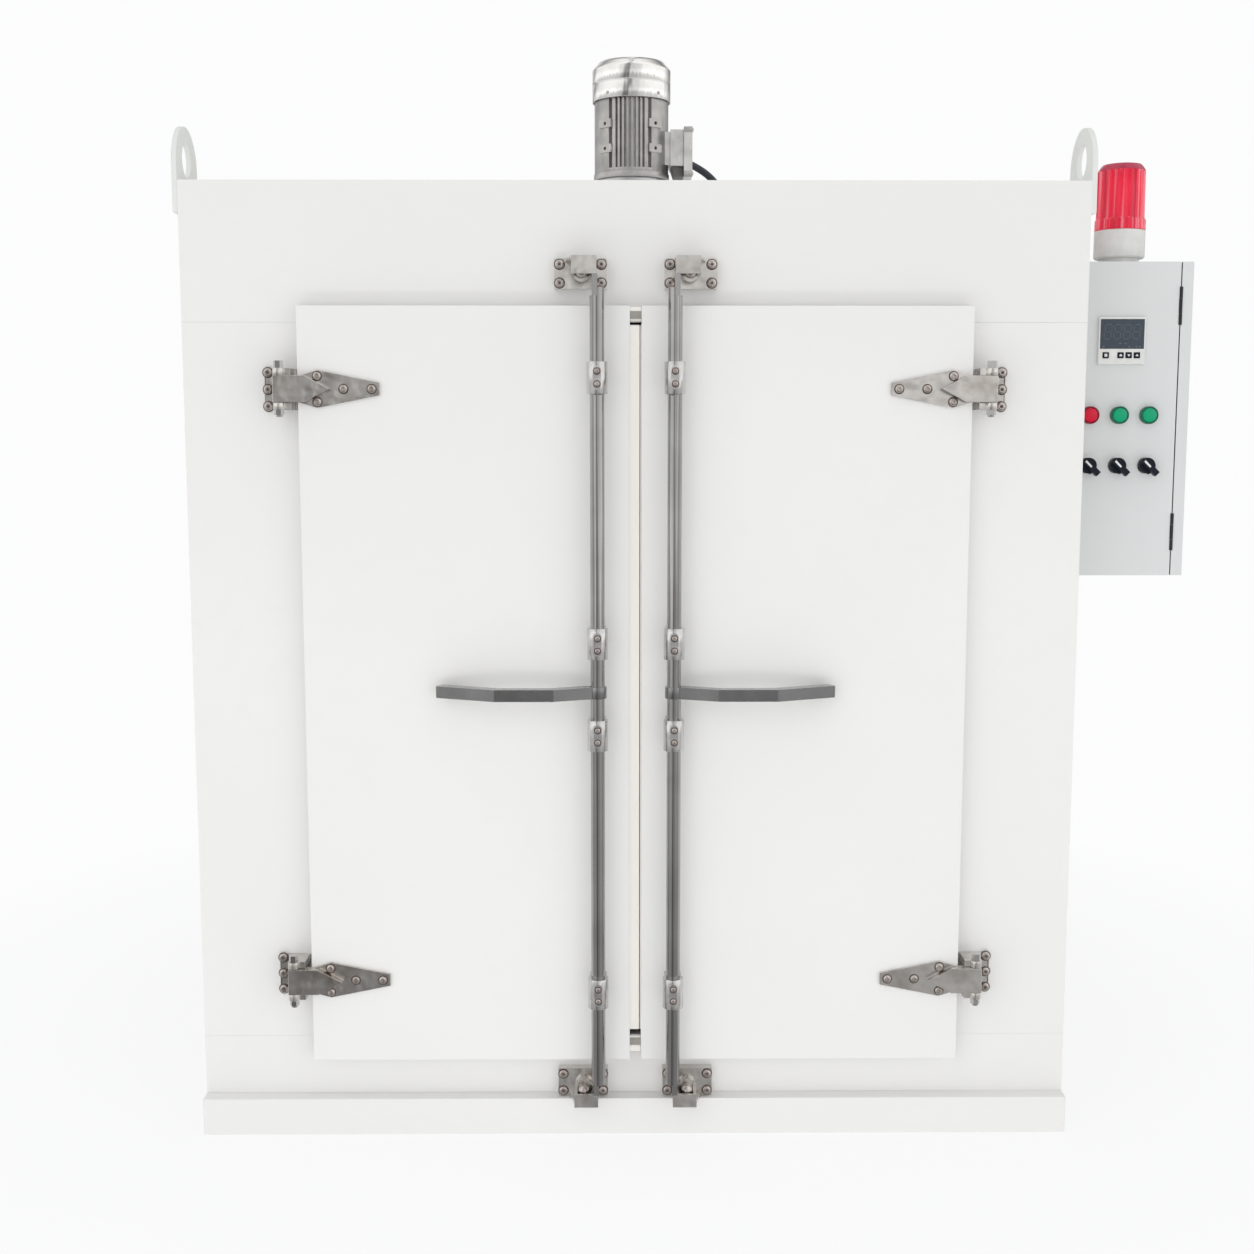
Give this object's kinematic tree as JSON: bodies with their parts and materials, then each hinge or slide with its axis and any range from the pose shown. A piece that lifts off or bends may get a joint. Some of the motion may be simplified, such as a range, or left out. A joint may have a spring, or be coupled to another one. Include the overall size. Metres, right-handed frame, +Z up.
{
  "type": "heat treatment oven",
  "caption": "Free-standing industrial heat treatment oven with two hinged doors, turning lock rods, roof fan motor, lifting lugs and a side control box with beacon.",
  "frame": {"origin": "on the floor under the middle of the cabinet, on the motor's axis", "axes": "+Z up; the doors face -Y; +X to the right as seen from the front, towards the control box"},
  "size_m": [1.6235, 1.345, 1.8177],
  "materials": {
    "coated_steel": "satin",
    "coated_steel_grey": "satin",
    "stainless_sheet": "satin",
    "stainless_polished": "polished",
    "stainless_cast": "satin",
    "zinc_steel": "satin",
    "mineral_wool": "matte",
    "gasket": "matte",
    "cast_aluminium": "satin",
    "polished_aluminium": "polished",
    "motor_core": "matte",
    "black_plastic": "satin",
    "black_rubber": "matte",
    "grey_plastic": "matte",
    "light_plastic": "satin",
    "display": "gloss",
    "red_lens": "gloss",
    "green_lens": "gloss",
    "beacon_lens": "gloss",
    "chrome": "polished"
  },
  "bodies": {
    "cabinet": {"base_frame": "coated_steel", "side_panels": "coated_steel", "rear_panel": "coated_steel", "roof_panel": "coated_steel", "front_frame": "coated_steel", "insulation": "mineral_wool", "chamber_liner": "stainless_sheet", "duct_panels": "stainless_sheet", "fan_baffle": "stainless_sheet", "heating_elements": "stainless_sheet", "heater_terminal_cover": "coated_steel", "temperature_probe": "stainless_sheet", "door_gasket": "gasket", "lifting_lugs": "coated_steel", "motor_stand": "zinc_steel", "motor_housing": "cast_aluminium", "motor_bearings": "zinc_steel", "fan_cover": "polished_aluminium", "terminal_box": "cast_aluminium", "cable_glands": "zinc_steel", "motor_cable": "black_rubber", "hinge_bases": "stainless_cast", "hinge_pins": "stainless_polished", "rod_keepers": "stainless_cast", "frame_screws": "stainless_polished", "control_box": "coated_steel_grey", "switchgear": "grey_plastic", "temperature_controller": "light_plastic", "display_window": "display", "panel_bezels": "chrome", "red_lamp_lens": "red_lens", "green_lamp_lenses": "green_lens", "beacon_base": "light_plastic", "beacon_lens": "beacon_lens"},
    "left_door": {"left_door_skin": "coated_steel", "left_door_liner": "stainless_sheet", "left_door_insulation": "mineral_wool", "left_hinge_straps": "stainless_cast", "left_rod_guides": "stainless_cast"},
    "right_door": {"right_door_skin": "coated_steel", "right_door_liner": "stainless_sheet", "right_door_insulation": "mineral_wool", "right_hinge_straps": "stainless_cast", "right_rod_guides": "stainless_cast"},
    "left_lock": {"left_lock_rod": "stainless_polished", "left_handle": "stainless_polished"},
    "right_lock": {"right_lock_rod": "stainless_polished", "right_handle": "stainless_polished"},
    "control_box_door": {"control_box_door": "coated_steel_grey"},
    "box_latch": {"box_latch": "black_plastic"},
    "selector_left": {"selector_knob_left": "black_plastic"},
    "selector_middle": {"selector_knob_middle": "black_plastic"},
    "selector_right": {"selector_knob_right": "black_plastic"},
    "key_1": {"controller_key_1": "black_plastic"},
    "key_2": {"controller_key_2": "black_plastic"},
    "key_3": {"controller_key_3": "black_plastic"},
    "key_4": {"controller_key_4": "black_plastic"},
    "fan_rotor": {"motor_rotor": "motor_core", "impeller": "stainless_sheet"},
    "beacon_reflector": {"beacon_reflector": "polished_aluminium"}
  },
  "joints": [
    {"name": "left_door_swing", "type": "hinge", "parent": "cabinet", "child": "left_door", "pos_m": [-0.544, -0.643, 0.7], "axis": [0, 0, -1], "range_deg": [0, 120]},
    {"name": "right_door_swing", "type": "hinge", "parent": "cabinet", "child": "right_door", "pos_m": [0.544, -0.643, 0.7], "axis": [0, 0, 1], "range_deg": [0, 120]},
    {"name": "left_rod_turn", "type": "hinge", "parent": "left_door", "child": "left_lock", "pos_m": [-0.059, -0.665, 0.7], "axis": [0, 0, 1], "range_deg": [0, 90]},
    {"name": "right_rod_turn", "type": "hinge", "parent": "right_door", "child": "right_lock", "pos_m": [0.059, -0.665, 0.7], "axis": [0, 0, -1], "range_deg": [0, 90]},
    {"name": "box_door_swing", "type": "hinge", "parent": "cabinet", "child": "control_box_door", "pos_m": [0.887, -0.475, 1.15], "axis": [0, 0, -1], "range_deg": [0, 110]},
    {"name": "box_latch_turn", "type": "hinge", "parent": "control_box_door", "child": "box_latch", "pos_m": [0.9065, -0.105, 1.15175], "axis": [1, 0, 0], "range_deg": [0, 90]},
    {"name": "fan_spin", "type": "hinge", "parent": "cabinet", "child": "fan_rotor", "pos_m": [0, 0, 1.6], "axis": [0, 0, 1], "continuous": true},
    {"name": "beacon_spin", "type": "hinge", "parent": "cabinet", "child": "beacon_reflector", "pos_m": [0.8064, -0.4, 1.49], "axis": [0, 0, 1], "continuous": true},
    {"name": "selector_left_turn", "type": "hinge", "parent": "cabinet", "child": "selector_left", "pos_m": [0.7438, -0.48, 1.078], "axis": [0, 1, 0], "range_deg": [0, 90]},
    {"name": "selector_middle_turn", "type": "hinge", "parent": "cabinet", "child": "selector_middle", "pos_m": [0.792, -0.48, 1.078], "axis": [0, 1, 0], "range_deg": [0, 90]},
    {"name": "selector_right_turn", "type": "hinge", "parent": "cabinet", "child": "selector_right", "pos_m": [0.8402, -0.48, 1.078], "axis": [0, 1, 0], "range_deg": [0, 90]},
    {"name": "key_1_press", "type": "slide", "parent": "cabinet", "child": "key_1", "axis": [0, 1, 0], "range_m": [0, 0.0008], "stiffness_N_per_m": 500},
    {"name": "key_2_press", "type": "slide", "parent": "cabinet", "child": "key_2", "axis": [0, 1, 0], "range_m": [0, 0.0008], "stiffness_N_per_m": 500},
    {"name": "key_3_press", "type": "slide", "parent": "cabinet", "child": "key_3", "axis": [0, 1, 0], "range_m": [0, 0.0008], "stiffness_N_per_m": 500},
    {"name": "key_4_press", "type": "slide", "parent": "cabinet", "child": "key_4", "axis": [0, 1, 0], "range_m": [0, 0.0008], "stiffness_N_per_m": 500}
  ]
}
